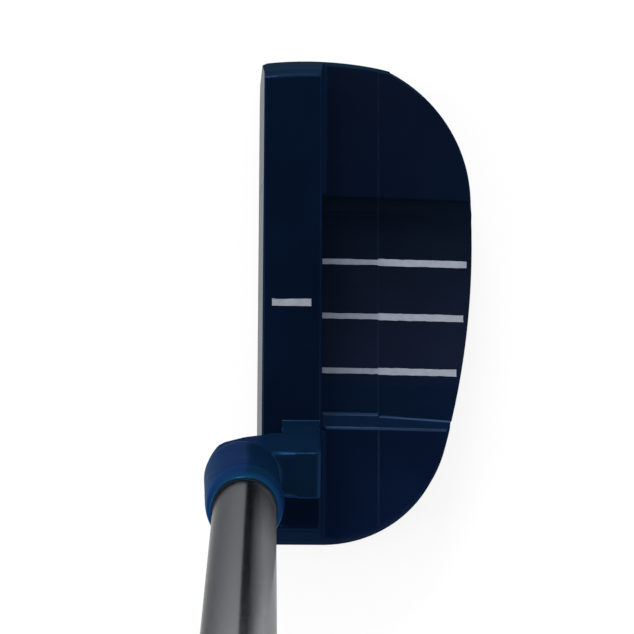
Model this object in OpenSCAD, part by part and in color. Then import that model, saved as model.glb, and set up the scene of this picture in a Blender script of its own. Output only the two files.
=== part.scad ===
// Mallet putter: a painted mid-mallet head with a milled face insert, a plumber's neck
// bolted to its topline, a stepped steel shaft and a pistol grip, held as at address.
// Millimetres, +Z up. The origin is the middle of the sole's flat, under the sight lines.
// The face looks along -Y, the toe lies along -X, the heel and the player along +X.

/* [Head outline] */
// Distance from the sight line to the toe end
toe_reach = 48; // [44:0.5:54]
// Distance from the sight line to the heel end
heel_reach = 40.7; // [38:0.1:46]
// Distance from the origin forward to the topline's front edge
front_reach = 20; // [18:0.5:22]
// Radius of the toe corner
toe_r = 26.4; // [22:0.2:28]
// Radius of the heel corner
heel_r = 22.5; // [18:0.1:24]
// Radius of the long rear curve
rear_r = 145; // [110:5:300]
// Straight length of the toe end, back from the topline's front edge
toe_straight = 11.4; // [9:0.2:15]
// Straight length of the heel end, back from the topline's front edge
heel_straight = 11; // [9:0.1:14]
// Radius of the toe end's front corner, seen from above
toe_front_r = 4.5; // [2:0.1:6]
// Radius of the toe end's bow, seen from above
toe_bow_r = 65; // [50:5:90]
// Distance from the topline's front edge to the middle of that bow
toe_bow_back = 8; // [6:0.5:10]

/* [Head section] */
// Height of the topline above the ground
topline_h = 24; // [22:0.5:28]
// Width of the topline, front to back
topline_w = 10.2; // [9:0.1:12]
// Loft of the face, in degrees
loft = 2.5; // [1:0.5:5]
// Draft of the topline's rear wall, in degrees
bar_draft = 2.5; // [0:0.5:6]
// Height of the flange where it meets the topline's rear wall
flange_h = 13.6; // [12:0.2:16]
// Distance from the topline's rear edge to the flange's crease
crease_back = 10.6; // [8:0.2:13]
// Fall of the flange in front of the crease, in degrees
flange_front_fall = 4; // [2:0.5:6]
// Fall of the flange behind the crease, in degrees
flange_rear_fall = 8; // [6.5:0.5:10]
// Inset of the topline's toe corner from the toe end
toe_slope_run = 5.8; // [3:0.2:8]
// Inset of the topline's heel corner from the heel end
heel_slope_run = 0.6; // [0.4:0.1:3]
// Height at which the sloped ends start
slope_start_h = 10.5; // [9:0.5:12]
// Rounding of the topline's front edge
topline_edge_r = 0.5; // [0.2:0.1:0.8]
// Fillet between the topline's rear wall and the flange
flange_fillet_r = 1.2; // [0.4:0.1:1.6]
// Rounding of the topline's toe corner
toe_top_r = 2.5; // [1:0.5:4]
// Rounding of the topline's heel corner
heel_top_r = 1.5; // [0.5:0.5:3]
// Rounding where the sloped ends start
slope_start_r = 10; // [5:1:12]

/* [Sole] */
// Length of the sole's flat, heel to toe
flat_l = 32; // [24:1:40]
// Front edge of the sole's flat, forward of the origin
flat_front = 12; // [9:0.5:14]
// Rear edge of the sole's flat, behind the origin
flat_rear = 6; // [3:0.5:9]
// Radius that lifts the leading edge
leading_r = 15; // [12:1:30]
// Radius that lifts the trailing edge
trailing_r = 20; // [16:1:40]
// Radius that lifts the sole towards the toe
toe_camber_r = 105; // [95:5:200]
// Radius that lifts the sole towards the heel
heel_camber_r = 80; // [75:5:160]

/* [Recess and sight lines] */
// Width of the recess between its upper edges, heel to toe
recess_w = 42.2; // [36:0.1:44]
// Shift of the recess towards the toe, from the sight line
recess_shift = 0.5; // [0:0.1:2]
// Depth of the recess at the topline's rear wall
recess_d = 2; // [1:0.1:2.6]
// Lean of the recess walls from upright, in degrees
recess_wall_lean = 53; // [20:1:60]
// Depth by which the recess undercuts the topline's rear wall at its floor
recess_undercut = 0.15; // [0.1:0.05:0.3]
// Fall of the recess floor behind the crease, in degrees
floor_rear_fall = 5.5; // [4:0.5:7]
// Spacing of the sight lines
line_pitch = 10; // [6:0.5:12]
// Width of a sight line in front of the crease
line_w_front = 1; // [0.5:0.1:1.4]
// Width of a sight line behind the crease
line_w_rear = 1.25; // [0.6:0.05:2]
// Depth of the paint in every sight line
line_d = 0.4; // [0.2:0.1:0.8]
// Distance from the end of a sight line to the rear edge
line_margin = 0.9; // [0.5:0.1:3]
// Length of the sight line on the topline
top_line_l = 6.9; // [4:0.1:8]
// Distance from the topline's front edge to its sight line
top_line_inset = 1.6; // [1:0.1:2]

/* [Face insert] */
// Length of the insert, heel to toe
insert_l = 46; // [36:1:46]
// Height of the insert
insert_h = 15; // [11:0.5:16]
// Thickness of the insert
insert_t = 2.6; // [1.5:0.1:3]
// Corner radius of the insert
insert_r = 5; // [2:0.5:5]
// Distance from the topline down to the insert's top edge
insert_drop = 3.4; // [2.5:0.1:4.5]
// Thickness of the adhesive film behind the insert
insert_bond_t = 0.3; // [0.2:0.1:0.5]
// Gap all round the insert
insert_gap = 0.1; // [0.05:0.05:0.3]

/* [Neck] */
// Lie of the shaft from the ground, in degrees
lie = 70; // [68:0.5:74]
// Distance from the heel end to the shaft's axis, at topline height
shaft_inset = 13.8; // [13.2:0.1:14.2]
// Distance of the shaft's axis ahead of the topline's front edge
shaft_lead = 2.5; // [1.5:0.1:3]
// Rise of the arm's top above the topline, along the shaft
arm_rise = 15.8; // [14:0.2:18]
// Width of the arm and post, heel to toe
arm_w = 7.9; // [7:0.1:9]
// Depth of the post, front to back
post_d = 6.4; // [6:0.1:7]
// Inset of the post from the topline's rear edge
post_inset = 0.2; // [0.2:0.1:0.6]
// Radius of the post's rear top corner
post_top_r = 1.2; // [0.8:0.2:3]
// Radius of the elbow's outer curve
elbow_r = 13.9; // [13:0.1:14]
// Rise of the elbow's centre above the topline, along the shaft
elbow_rise = 17.7; // [17:0.1:19]
// Spread of the foot beyond the post, to the toe and to the heel
foot_spread = 1.7; // [0.8:0.1:2.2]
// Height of the foot
foot_h = 1.3; // [0.8:0.1:2]
// Distance by which the foot stands proud of the post, in front and behind
foot_lip = 0.15; // [0.05:0.05:0.2]
// Radius to which the elbow's nose is rounded, about the shaft's axis
nose_r = 6.1; // [5.8:0.1:6.2]
// Radius of the barrel at its round lower end
barrel_r = 6.6; // [6.5:0.1:7.2]
// Radius of the barrel where its rim starts to taper
rim_r = 6.35; // [6.2:0.05:6.4]
// Rise of the rim's lower edge above the topline, along the shaft
rim_rise = 34.5; // [32:0.5:40]
// Length of the tapered rim
rim_l = 5.5; // [4.5:0.5:7]
// Length of the lip that ends the rim
lip_l = 2.2; // [1.5:0.1:3]
// Radius of the rim where its lip starts
lip_r = 6.05; // [5.9:0.05:6.15]
// Wall left at the rim's end
rim_wall = 0.35; // [0.2:0.05:0.6]
// Depth of the shaft's socket
socket_d = 25; // [20:1:25]

/* [Neck fixing] */
// Diameter of the neck's spigot in the head
spigot_d = 5.2; // [4.8:0.1:5.6]
// Length of the spigot
spigot_l = 10; // [8:0.5:11]
// Diameter of the neck screw's shank
screw_d = 3; // [2.5:0.1:3.2]
// Diameter of the neck screw's head
screw_head_d = 5.5; // [5:0.1:6]
// Height of the neck screw's head
screw_head_h = 3; // [2:0.1:3.4]
// Depth of the screw's socket
screw_socket_d = 1.6; // [1:0.1:1.8]
// Width of the screw's hexagon socket, across flats
screw_hex = 2.5; // [2:0.1:2.6]
// Length of thread that the screw has in the spigot
screw_grip = 7; // [5:0.5:7.5]
// Height of the screw head's seat above the ground
screw_seat_h = 5; // [4.5:0.1:6]
// Clearance round the screw in the head
screw_clear = 0.3; // [0.2:0.05:0.4]
// Slip clearance of the spigot and of the thread
slip = 0.05; // [0.03:0.01:0.1]

/* [Shaft] */
// Length of the club from the ground to the butt end, along the shaft
club_l = 864; // [760:1:910]
// Outer diameter of the shaft's tip
tip_d = 10; // [9.4:0.1:10.2]
// Outer diameter of the shaft's butt
butt_d = 14.8; // [14:0.1:15.4]
// Wall of the shaft's tube
shaft_wall = 0.6; // [0.4:0.1:1.2]
// Number of steps from tip to butt
step_count = 12; // [6:1:14]
// Length of each step
step_l = 26; // [18:1:28]
// Length of the cone that makes each step
step_cone_l = 1.5; // [0.5:0.1:3]
// Length of plain tip from the rim to the first step
plain_tip_l = 180; // [140:5:190]
// Thickness of the epoxy round the shaft's tip
epoxy_t = 0.15; // [0.1:0.05:0.25]
// Length of the plug in the shaft's tip
plug_l = 12; // [8:1:20]

/* [Grip] */
// Length of the grip
grip_l = 266; // [230:1:280]
// Thickness of the tape under the grip
tape_t = 0.3; // [0.2:0.1:0.5]
// Height of the end cap
cap_h = 4; // [3:0.5:6]
// Diameter of the vent hole in the end cap
vent_d = 2.4; // [2:0.1:4]
// Half width of the grip at its lower end
grip_low_r = 9.4; // [9.2:0.1:11]
// Half width of the grip at its upper end
grip_top_r = 12.6; // [11.5:0.1:14]
// Depth of the flat from the shaft's axis, at the upper end
grip_flat_top = 11; // [10:0.1:12]
// Extra depth of the pistol bulge at the back
pistol_swell = 4.6; // [2:0.1:6]
// Rounding of the grip's lower mouth
mouth_r = 1.2; // [0.5:0.1:1.5]

/* [Hidden] */
$fn = 64;
arc_sides = 180;
function unit(v) = v / norm(v);

// A margin by which cutting bodies pass the faces that they cut
over = 1;
// Room above the topline and beside the outline for cutting bodies
reach = 60;
// How far a round corner stands proud of the lines that it joins
corner_lap = 0.002;

// Head outline: the toe and heel corners touch the long rear curve from inside
toe_c = [-toe_reach + toe_r, -front_reach + toe_straight];
heel_c = [heel_reach - heel_r, -front_reach + heel_straight];
corner_span = norm(heel_c - toe_c);
along = (heel_c - toe_c) / corner_span;
toe_leg = rear_r - toe_r;
heel_leg = rear_r - heel_r;
rear_shift = (toe_leg * toe_leg - heel_leg * heel_leg + corner_span * corner_span) / (2 * corner_span);
rear_drop = sqrt(toe_leg * toe_leg - rear_shift * rear_shift);
rear_c = toe_c + rear_shift * along + rear_drop * [along[1], -along[0]];
rear_y = rear_c[1] + rear_r;
function rear_edge(x) = rear_c[1] + sqrt(rear_r * rear_r - pow(x - rear_c[0], 2));

// Axis of the bowed toe end
toe_bow_c = [-toe_reach + toe_bow_r, -front_reach + toe_bow_back];
function toe_bow_x(y) = toe_bow_c[0] - sqrt(toe_bow_r * toe_bow_r - pow(y - toe_bow_c[1], 2));

// Head section, seen from the heel
face_foot_y = -front_reach - topline_h * tan(loft);
bar_rear_y = -front_reach + topline_w;
function bar_wall_y(z) = bar_rear_y + (topline_h - z) * tan(bar_draft);
crease_y = bar_rear_y + crease_back;
flange_y = bar_wall_y(flange_h);
crease_h = flange_h - (crease_y - flange_y) * tan(flange_front_fall);
rear_h = crease_h - (rear_y - crease_y) * tan(flange_rear_fall);

// Recess floor: a front part beside the topline and a rear part that falls faster
floor_h = flange_h - recess_d;
floor_y = bar_wall_y(floor_h);
floor_crease_h = floor_h - (crease_y - floor_y) * tan(flange_front_fall);
toe_line_x = -line_pitch;
centre_line_x = 0;
heel_line_x = line_pitch;

// Shaft frame: its origin is where the shaft's axis meets the ground
shaft_x = heel_reach - shaft_inset;
shaft_ground_x = shaft_x - topline_h / tan(lie);
shaft_y = -front_reach - shaft_lead;
topline_t = topline_h / sin(lie);
arm_t = topline_t + arm_rise;
elbow_t = topline_t + elbow_rise;
rim_t = topline_t + rim_rise;
rim_end_t = rim_t + rim_l;
lip_t = rim_end_t - lip_l;
socket_r = tip_d / 2 + epoxy_t;
socket_t = rim_end_t - socket_d;
tip_t = socket_t + epoxy_t;
rim_end_r = socket_r + rim_wall;
barrel_t = elbow_t;

// Neck fixing, upright in the head
post_rear = bar_rear_y - post_inset;
post_front = post_rear - post_d;
spigot_y = (post_front + post_rear) / 2;
spigot_foot_h = topline_h - spigot_l;
screw_hole_d = screw_d + 2 * screw_clear;
screw_bore_d = screw_head_d + 2 * screw_clear;

// Shaft and grip, along the shaft
butt_t = club_l - cap_h;
grip_t = butt_t - grip_l;
step_rise = (butt_d - tip_d) / 2 / step_count;
grip_bore_r = butt_d / 2 + tape_t;

// Frame of the shaft, with its axis along Z
module shaft_frame() {
    translate([shaft_ground_x, shaft_y, 0])
        rotate([0, 90 - lie, 0])
            children();
}

// Frame of the face, with the face in its XZ plane and the head behind it
module face_frame() {
    translate([0, -front_reach, topline_h])
        rotate([-loft, 0, 0])
            children();
}

// A flat shape in Y and Z, drawn out along X to both sides
module side_extrude(width) {
    rotate([90, 0, 90])
        linear_extrude(width, center = true)
            children();
}

// A flat shape in X and Z, drawn out along Y to both sides
module front_extrude(depth) {
    rotate([90, 0, 0])
        linear_extrude(depth, center = true)
            children();
}

// A round corner about a centre, from one direction to another and a little past both
module round_corner(c, r, from, to) {
    past = 0.25 * (to - from);
    intersection() {
        translate(c)
            circle(r + corner_lap, $fn = arc_sides);
        polygon([c, c + 2 * r * (from - past), c + 2 * r * (from + to), c + 2 * r * (to + past)]);
    }
}

// A polygon, counter-clockwise, with a radius for each corner; a radius of 0 keeps it sharp
module round_polygon(points, radii) {
    n = len(points);
    ins = [for (i = [0 : n - 1]) unit(points[i] - points[(i + n - 1) % n])];
    outs = [for (i = [0 : n - 1]) unit(points[(i + 1) % n] - points[i])];
    cuts = [for (i = [0 : n - 1]) radii[i] * tan(acos(ins[i] * outs[i]) / 2)];
    starts = [for (i = [0 : n - 1]) points[i] - cuts[i] * ins[i]];
    ends = [for (i = [0 : n - 1]) points[i] + cuts[i] * outs[i]];
    turns = [for (i = [0 : n - 1]) sign(cross(ins[i], outs[i]))];
    centres = [for (i = [0 : n - 1]) starts[i] + turns[i] * radii[i] * [-ins[i][1], ins[i][0]]];
    difference() {
        union() {
            polygon([for (i = [0 : n - 1]) each radii[i] > 0 ? [starts[i], ends[i]] : [points[i]]]);
            for (i = [0 : n - 1])
                if (radii[i] > 0 && turns[i] > 0)
                    round_corner(centres[i], radii[i], unit(starts[i] - centres[i]),
                        unit(ends[i] - centres[i]));
        }
        for (i = [0 : n - 1])
            if (radii[i] > 0 && turns[i] < 0)
                round_corner(centres[i], radii[i], unit(starts[i] - centres[i]),
                    unit(ends[i] - centres[i]));
    }
}

// A rectangle with round corners, about its centre
module round_rect(w, h, r) {
    round_polygon([[-w / 2, -h / 2], [w / 2, -h / 2], [w / 2, h / 2], [-w / 2, h / 2]], [r, r, r, r]);
}

// The rear half of a round corner, with a little of its front half
module rear_corner(c, r) {
    intersection() {
        translate(c)
            circle(r + corner_lap, $fn = arc_sides);
        translate(c - [2 * r, over])
            square(4 * r);
    }
}

// The head from above: two round corners, the rear curve between them, a rounded front toe corner
module head_plan() {
    far = 1.4;
    spare = over / 4;
    rear_corner(toe_c, toe_r);
    rear_corner(heel_c, heel_r);
    intersection() {
        translate(rear_c)
            circle(rear_r, $fn = 4 * arc_sides);
        polygon([toe_c, heel_c, rear_c + far * (heel_c - rear_c), rear_c + far * (toe_c - rear_c)]);
    }
    round_polygon([[toe_bow_x(face_foot_y) - spare, face_foot_y], [heel_reach, face_foot_y],
        [heel_reach, heel_c[1]], heel_c, toe_c, [-toe_reach - over, toe_c[1]]],
        [toe_front_r, 0, 0, 0, 0, 0]);
}

// The region above the sole between two lifted edges, flat in the middle
module sole_2d(a, b, r_a, r_b) {
    translate([a, 0])
        square([b - a, reach]);
    translate([a, r_a])
        circle(r_a + corner_lap, $fn = 2 * arc_sides);
    translate([b, r_b])
        circle(r_b + corner_lap, $fn = 2 * arc_sides);
    translate([a - r_a, r_a])
        square([r_a, reach]);
    translate([b, r_b])
        square([r_b, reach]);
}

// The head from the heel: lofted face, topline, rear wall and the two falls of the flange
module head_side() {
    past = rear_y + over;
    past_h = rear_h - over * tan(flange_rear_fall);
    intersection() {
        round_polygon([[face_foot_y, 0], [past, 0], [past, past_h], [crease_y, crease_h],
            [flange_y, flange_h], [bar_rear_y, topline_h], [-front_reach, topline_h]],
            [0, 0, 0, 0, flange_fillet_r, 0, topline_edge_r]);
        sole_2d(-flat_front, flat_rear, leading_r, trailing_r);
    }
}

// The head from the front: a sloped heel end above a cambered sole
module head_front() {
    intersection() {
        round_polygon([[-toe_reach - over, 0], [heel_reach, 0], [heel_reach, slope_start_h],
            [heel_reach - heel_slope_run, topline_h], [-toe_reach - over, topline_h]],
            [0, 0, slope_start_r, heel_top_r, 0]);
        sole_2d(-flat_l / 2, flat_l / 2, toe_camber_r, heel_camber_r);
    }
}

// All that lies within the bowed toe end: its sloped profile, turned about the bow's axis
module toe_end() {
    translate(toe_bow_c)
        rotate_extrude($fn = 4 * arc_sides)
            round_polygon([[0, 0], [toe_bow_r, 0], [toe_bow_r, slope_start_h],
                [toe_bow_r - toe_slope_run, topline_h], [0, topline_h]],
                [0, 0, slope_start_r, toe_top_r, 0]);
}

// A trough whose leaning walls start from upper edges in one part of the flange, from y0 to y1
module trough(fall, y0, y1) {
    lean = tan(recess_wall_lean) / cos(fall);
    low = recess_d + over;
    low_w = recess_w - 2 * low * lean;
    top_w = recess_w + 2 * over * lean;
    translate([-recess_shift, crease_y, crease_h])
        rotate([-fall, 0, 0])
            translate([0, (y0 + y1) / 2, 0])
                front_extrude(y1 - y0)
                    polygon([[-low_w / 2, -low], [low_w / 2, -low], [top_w / 2, over], [-top_w / 2, over]]);
}

// Everything behind the topline's rear wall, which the recess undercuts a little at its floor
module behind_bar() {
    mid_h = floor_h + recess_d;
    lean = tan(bar_draft) - recess_undercut / recess_d;
    function front_y(z) = bar_wall_y(mid_h) + (mid_h - z) * lean;
    side_extrude(2 * reach)
        polygon([[front_y(0), 0], [rear_y + 2 * over, 0], [rear_y + 2 * over, topline_h],
            [front_y(topline_h), topline_h]]);
}

// The recess in the flange, open at the rear edge
module recess() {
    intersection() {
        union() {
            trough(flange_front_fall, -2 * crease_back, over);
            trough(flange_rear_fall, -over, rear_y - crease_y + 2 * over);
        }
        floor_layer(0, recess_d + 2 * over);
        behind_bar();
    }
}

// The layer between two heights above the recess floor
module floor_layer(low, high) {
    function floor_z(y) = floor_crease_h
        + (crease_y - y) * tan(y < crease_y ? flange_front_fall : floor_rear_fall);
    near = floor_y - over;
    past = rear_y + over;
    side_extrude(2 * reach)
        polygon([[near, floor_z(near) + low], [crease_y, floor_crease_h + low],
            [past, floor_z(past) + low], [past, floor_z(past) + high],
            [crease_y, floor_crease_h + high], [near, floor_z(near) + high]]);
}

// One sight line on the recess floor, drawn up by a height above the floor
module sight_line(x, up) {
    end_y = rear_edge(x) - line_margin;
    intersection() {
        floor_layer(-line_d, up);
        linear_extrude(topline_h)
            polygon([[x - line_w_front / 2, bar_rear_y], [x + line_w_front / 2, bar_rear_y],
                [x + line_w_front / 2, crease_y], [x + line_w_rear / 2, crease_y],
                [x + line_w_rear / 2, end_y], [x - line_w_rear / 2, end_y],
                [x - line_w_rear / 2, crease_y], [x - line_w_front / 2, crease_y]]);
        behind_bar();
    }
}

// The sight line on the topline, drawn up by a height above it
module top_line(up) {
    translate([-line_w_rear / 2, -front_reach + top_line_inset, topline_h - line_d])
        cube([line_w_rear, top_line_l, line_d + up]);
}

// A slab with the insert's outline, grown all round, between two depths behind the face
module insert_slab(grow, from, to) {
    face_frame()
        translate([0, (from + to) / 2, -insert_drop - insert_h / 2])
            front_extrude(to - from)
                round_rect(insert_l + 2 * grow, insert_h + 2 * grow, insert_r + grow);
}

// The painted casting: topline, flange, recess and cambered sole
module head_body() {
    color("#0c2340")
        difference() {
            intersection() {
                linear_extrude(topline_h)
                    head_plan();
                side_extrude(2 * reach)
                    head_side();
                front_extrude(2 * reach)
                    head_front();
                toe_end();
            }
            recess();
            for (x = [toe_line_x, centre_line_x, heel_line_x])
                sight_line(x, over);
            top_line(over);
            insert_slab(insert_gap, -over, insert_t + insert_bond_t);
            translate([shaft_x, spigot_y, spigot_foot_h])
                cylinder(h = spigot_l + over, d = spigot_d + 2 * slip);
            translate([shaft_x, spigot_y, -over])
                cylinder(h = spigot_foot_h + 2 * over, d = screw_hole_d);
            translate([shaft_x, spigot_y, -over])
                cylinder(h = screw_seat_h + over, d = screw_bore_d);
        }
}

// The bare milled plate let into the face
module face_insert() {
    color("#b9bcc0")
        insert_slab(0, 0, insert_t);
}

// The adhesive film that holds the insert
module insert_bond() {
    color("#e6e2d3")
        insert_slab(0, insert_t, insert_t + insert_bond_t);
}

// The neck from the side, in Y and along the shaft: a post and a round elbow
module elbow_2d() {
    rear = post_rear - shaft_y;
    front = post_front - shaft_y;
    foot_t = topline_t - reach / 2;
    intersection() {
        union() {
            translate([elbow_r - barrel_r + slip, elbow_t])
                circle(elbow_r, $fn = 180);
            translate([front, foot_t])
                square([post_d, arm_t - foot_t]);
        }
        round_polygon([[-reach / 2, foot_t], [rear, foot_t], [rear, arm_t], [-reach / 2, arm_t]],
            [0, 0, post_top_r, 0]);
    }
}

// The neck along the shaft: straight behind, with a nose rounded about the shaft's axis
module nose_2d() {
    half = (nose_r + arm_w / 2) / 2;
    circle(nose_r, $fn = arc_sides);
    translate([-half, 0])
        square([2 * half, reach]);
}

// The foot from the front: it spreads to the toe and to the heel, and ends inside the leaning post
module foot_2d() {
    half = arm_w / 2 / sin(lie);
    lean = foot_h / tan(lie);
    part_in = 1.1;
    low = half + foot_spread;
    polygon([[-low, 0], [low, 0], [low + part_in * (lean - foot_spread), part_in * foot_h],
        [-low + part_in * (lean + foot_spread), part_in * foot_h]]);
}

// The barrel that takes the shaft: round lower end, slow taper, rim and lip
module barrel() {
    translate([0, 0, barrel_t])
        sphere(barrel_r);
    translate([0, 0, barrel_t])
        cylinder(h = rim_t - barrel_t, r1 = barrel_r, r2 = rim_r);
    translate([0, 0, rim_t])
        cylinder(h = rim_l - lip_l, r1 = rim_r, r2 = lip_r);
    translate([0, 0, lip_t])
        cylinder(h = lip_l, r1 = lip_r, r2 = rim_end_r);
}

// The plumber's neck: foot, post, elbow and barrel, with the spigot that locates it
module hosel_neck() {
    color("#123a63")
        difference() {
            union() {
                intersection() {
                    shaft_frame()
                        intersection() {
                            side_extrude(arm_w)
                                elbow_2d();
                            linear_extrude(arm_t + over)
                                nose_2d();
                        }
                    translate([shaft_x - reach, shaft_y - reach, topline_h])
                        cube(2 * reach);
                }
                translate([shaft_x, spigot_y, topline_h])
                    front_extrude(post_d + 2 * foot_lip)
                        foot_2d();
                shaft_frame()
                    barrel();
                translate([shaft_x, spigot_y, spigot_foot_h])
                    cylinder(h = spigot_l + foot_h / 2, d = spigot_d);
            }
            shaft_frame()
                translate([0, 0, socket_t])
                    cylinder(h = socket_d + over, r = socket_r);
            translate([shaft_x, spigot_y, spigot_foot_h - over])
                cylinder(h = screw_grip + 2 * over, d = screw_d + 2 * slip);
        }
}

// The cap screw that pulls the neck down from under the sole
module neck_screw() {
    color("#8f9499")
        translate([shaft_x, spigot_y, screw_seat_h])
            difference() {
                union() {
                    translate([0, 0, -screw_head_h])
                        cylinder(h = screw_head_h, d = screw_head_d);
                    cylinder(h = spigot_foot_h + screw_grip - screw_seat_h, d = screw_d);
                }
                translate([0, 0, -screw_head_h - over])
                    cylinder(h = screw_socket_d + over, d = screw_hex / cos(30), $fn = 6);
            }
}

// White paint in the topline's groove
module topline_sight_line() {
    color("#f1f1f4")
        top_line(0);
}

// White paint in one groove of the recess
module recess_paint(x) {
    color("#f1f1f4")
        sight_line(x, 0);
}

module toe_sight_line() {
    recess_paint(toe_line_x);
}

module centre_sight_line() {
    recess_paint(centre_line_x);
}

module heel_sight_line() {
    recess_paint(heel_line_x);
}

// The tube's radius profile: plain tip, then even steps up to the butt
step_t = [for (i = [0 : step_count - 1]) rim_end_t + plain_tip_l + i * step_l];
shaft_outside = concat(
    [[tip_d / 2, tip_t]],
    [for (i = [0 : step_count - 1], top = [0, 1])
        [tip_d / 2 + (i + top) * step_rise, step_t[i] + top * step_cone_l]],
    [[butt_d / 2, butt_t]]);
shaft_inside = [for (i = [len(shaft_outside) - 1 : -1 : 0]) shaft_outside[i] - [shaft_wall, 0]];

// The stepped steel tube
module shaft() {
    color("#c9ccd0")
        shaft_frame()
            rotate_extrude($fn = 96)
                polygon(concat(shaft_outside, shaft_inside));
}

// The epoxy that bonds the shaft in the neck
module hosel_epoxy() {
    color("#2a2c30")
        shaft_frame()
            difference() {
                translate([0, 0, socket_t])
                    cylinder(h = socket_d, r = socket_r);
                translate([0, 0, tip_t])
                    cylinder(h = socket_d, d = tip_d);
            }
}

// The plug that keeps the epoxy out of the tube
module shaft_tip_plug() {
    color("#2b2b2b")
        shaft_frame()
            translate([0, 0, tip_t])
                cylinder(h = plug_l, r = tip_d / 2 - shaft_wall);
}

// Grip sections: a flat towards the toe, round behind, with a pistol swell near the top
grip_sides = 48;
grip_rings = 20;
flat_power = 0.45;
swell_from = 0.5;
function smooth(u) = u <= 0 ? 0 : u >= 1 ? 1 : u * u * (3 - 2 * u);
function blend(a, b, s) = a + (b - a) * s;
function grip_half(s) = blend(grip_low_r, grip_top_r, pow(s, 0.8));
function grip_flat(s) = blend(grip_low_r, grip_flat_top, s);
function grip_back(s) = grip_half(s) + pistol_swell * smooth((s - swell_from) / (0.92 - swell_from));
function signed_pow(v, p) = sign(v) * pow(abs(v), p);
function grip_point(s, a, inset) =
    cos(a) < 0
    ? [signed_pow(cos(a), flat_power) * (grip_flat(s) - inset),
        signed_pow(sin(a), 0.8) * (grip_half(s) - inset)]
    : [cos(a) * (grip_back(s) - inset),
        signed_pow(sin(a), 0.8) * (grip_half(s) - inset)];
function grip_ring(s, t, inset) =
    [for (i = [0 : grip_sides - 1]) let (p = grip_point(s, i * 360 / grip_sides, inset)) [p[0], p[1], t]];

// A closed skin over a stack of rings with equal counts of points
module skin(rings) {
    n = len(rings[0]);
    last = (len(rings) - 1) * n;
    sides = [for (k = [0 : len(rings) - 2], i = [0 : n - 1]) let (j = (i + 1) % n)
        each [[k * n + i, (k + 1) * n + i, (k + 1) * n + j], [k * n + i, (k + 1) * n + j, k * n + j]]];
    ends = [[for (i = [0 : n - 1]) i], [for (i = [n - 1 : -1 : 0]) last + i]];
    polyhedron([for (r = rings) each r], concat(sides, ends));
}

// The rubber grip, a sleeve over the taped butt
module grip() {
    color("#17191c")
        shaft_frame()
            difference() {
                skin(concat(
                    [for (u = [0 : 0.5 : 1]) grip_ring(0, grip_t + mouth_r * (1 - cos(90 * u)),
                        mouth_r * (1 - sin(90 * u)))],
                    [for (k = [1 : grip_rings]) let (s = k / grip_rings)
                        grip_ring(s, blend(grip_t + mouth_r, butt_t, s), 0)]));
                translate([0, 0, grip_t - over])
                    cylinder(h = grip_l + 2 * over, r = grip_bore_r);
            }
}

// The double-sided tape between the shaft and the grip
module grip_tape() {
    color("#d9d2bd")
        shaft_frame()
            translate([0, 0, grip_t + mouth_r])
                difference() {
                    cylinder(h = grip_l - mouth_r, r = grip_bore_r);
                    translate([0, 0, -over])
                        cylinder(h = grip_l + 2 * over, d = butt_d);
                }
}

// The domed end cap with its vent hole
module grip_cap() {
    color("#202327")
        shaft_frame()
            difference() {
                skin([for (u = [0 : 0.25 : 1])
                    grip_ring(1, butt_t + cap_h * sin(80 * u) / sin(80), cap_h * (1 - cos(80 * u)))]);
                translate([0, 0, butt_t - over])
                    cylinder(h = cap_h + 2 * over, d = vent_d);
            }
}

head_body();
face_insert();
insert_bond();
hosel_neck();
neck_screw();
topline_sight_line();
toe_sight_line();
centre_sight_line();
heel_sight_line();
shaft();
hosel_epoxy();
shaft_tip_plug();
grip();
grip_tape();
grip_cap();
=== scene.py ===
"""Mallet putter at address: the finished look of each piece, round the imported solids.

Metres, +Z up. The face looks along -Y, the toe lies along -X, the heel and the player along +X.
"""
import math

import bpy
from bpy.props import FloatProperty, FloatVectorProperty, IntProperty, PointerProperty
from mathutils import Matrix, Vector


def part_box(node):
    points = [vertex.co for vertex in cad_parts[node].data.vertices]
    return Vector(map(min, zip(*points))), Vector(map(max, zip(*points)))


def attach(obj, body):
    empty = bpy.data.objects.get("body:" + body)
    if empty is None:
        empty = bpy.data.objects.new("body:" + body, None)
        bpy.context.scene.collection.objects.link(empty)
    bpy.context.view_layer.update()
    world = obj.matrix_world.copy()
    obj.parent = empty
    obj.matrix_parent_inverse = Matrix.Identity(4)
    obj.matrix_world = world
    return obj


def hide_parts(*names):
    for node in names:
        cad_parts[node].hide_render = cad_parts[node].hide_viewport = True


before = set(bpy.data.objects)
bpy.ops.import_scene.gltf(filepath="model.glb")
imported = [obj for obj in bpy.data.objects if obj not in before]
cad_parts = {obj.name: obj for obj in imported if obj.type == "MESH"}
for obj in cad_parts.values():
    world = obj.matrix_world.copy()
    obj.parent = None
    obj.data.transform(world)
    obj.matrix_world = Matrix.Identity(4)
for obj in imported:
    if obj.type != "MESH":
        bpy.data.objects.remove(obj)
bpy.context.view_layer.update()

bl_info = {
    "name": "Mallet Putter",
    "version": (1, 0, 0),
    "blender": (4, 5, 0),
    "location": "View3D > Sidebar > Putter",
    "description": "Models and finishes a mallet putter piece by piece",
    "category": "Add Mesh",
}

MM = 0.001
FLAT = math.radians(0.5)  # faces that turn less than this count as one
LINE_PITCH = 10 * MM
SPIGOT_X, SPIGOT_Y = 26.9 * MM, -13.2 * MM
CAMERA_AT = (0.0793, -0.0188, 0.4367)
CAMERA_RIGHT = Vector((-0.00384332, 0.99977509, 0.02085644))
CAMERA_DOWN = Vector((0.98315717, 0.00758877, -0.18260445))
CAMERA_LENS, CAMERA_SENSOR = 136.28, 36
FLOOR_SIZE = 60

# Name, place, width and power of each lamp
SOFTBOXES = (("toe_softbox", (-1.6, -0.3, 1.0), 0.7, 16),
             ("front_softbox", (0.2, -1.8, 1.1), 1.2, 12),
             ("rear_softbox", (0.9, 1.7, 1.2), 1.4, 4))

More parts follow.
